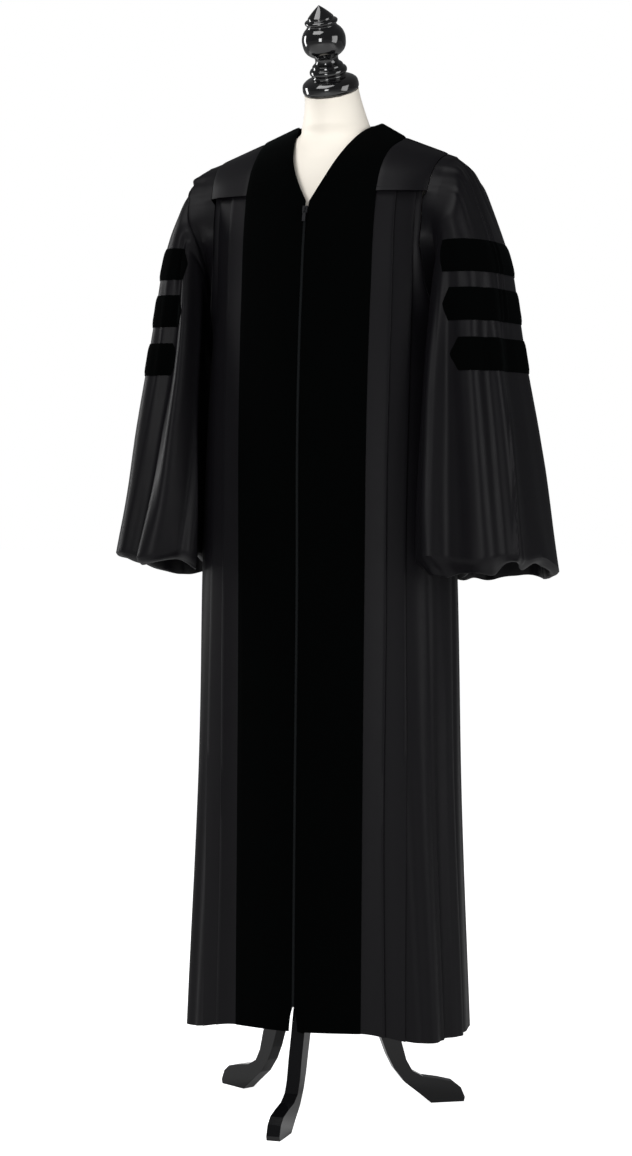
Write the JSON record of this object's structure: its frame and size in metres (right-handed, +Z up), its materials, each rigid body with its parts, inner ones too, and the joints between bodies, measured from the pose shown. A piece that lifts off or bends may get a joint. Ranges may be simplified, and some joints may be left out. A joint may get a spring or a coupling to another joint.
{
  "type": "graduation gown on a dress form",
  "caption": "Long black doctoral gown with velvet fronts and sleeve bars, pleated fronts, fluted back and bell sleeves, on a limbless form with a wooden tripod.",
  "frame": {"origin": "centre of the outline on the floor under the feet", "axes": "+Z up, the wearer faces -Y, the wearer's left arm is on +X"},
  "size_m": [0.6904, 0.4308, 1.6991],
  "materials": {
    "gown_cloth": "fine matt twill with a soft sheen",
    "velvet": "deep black velvet pile",
    "form_cover": "smooth cream jersey",
    "lacquered_wood": "glossy black lacquer",
    "zip_tape": "matt tape with a coil",
    "zip_metal": "black enamel"
  },
  "bodies": {
    "gown_and_form": {"back": "gown_cloth", "bar_left_1": "velvet", "bar_left_2": "velvet", "bar_left_3": "velvet", "bar_right_1": "velvet", "bar_right_2": "velvet", "bar_right_3": "velvet", "collar_back": "velvet", "dress_form": "form_cover", "front_left": "gown_cloth", "front_right": "gown_cloth", "hub": "lacquered_wood", "leg_1": "lacquered_wood", "leg_2": "lacquered_wood", "leg_3": "lacquered_wood", "neck_cap": "lacquered_wood", "pole": "lacquered_wood", "sleeve_left": "gown_cloth", "sleeve_right": "gown_cloth", "velvet_left": "velvet", "velvet_right": "velvet", "yoke_back": "gown_cloth", "yoke_left": "gown_cloth", "yoke_right": "gown_cloth", "zip_slider": "zip_metal", "zip_tape": "zip_tape"},
    "pull": {"zip_pull": "zip_metal"}
  },
  "joints": [
    {"name": "zip_pull_hinge", "type": "hinge", "parent": "gown_and_form", "child": "pull", "pos_m": [-0.00776, -0.05675, 1.381], "axis": [-1, 0, 0], "range_deg": [0, 110]}
  ]
}
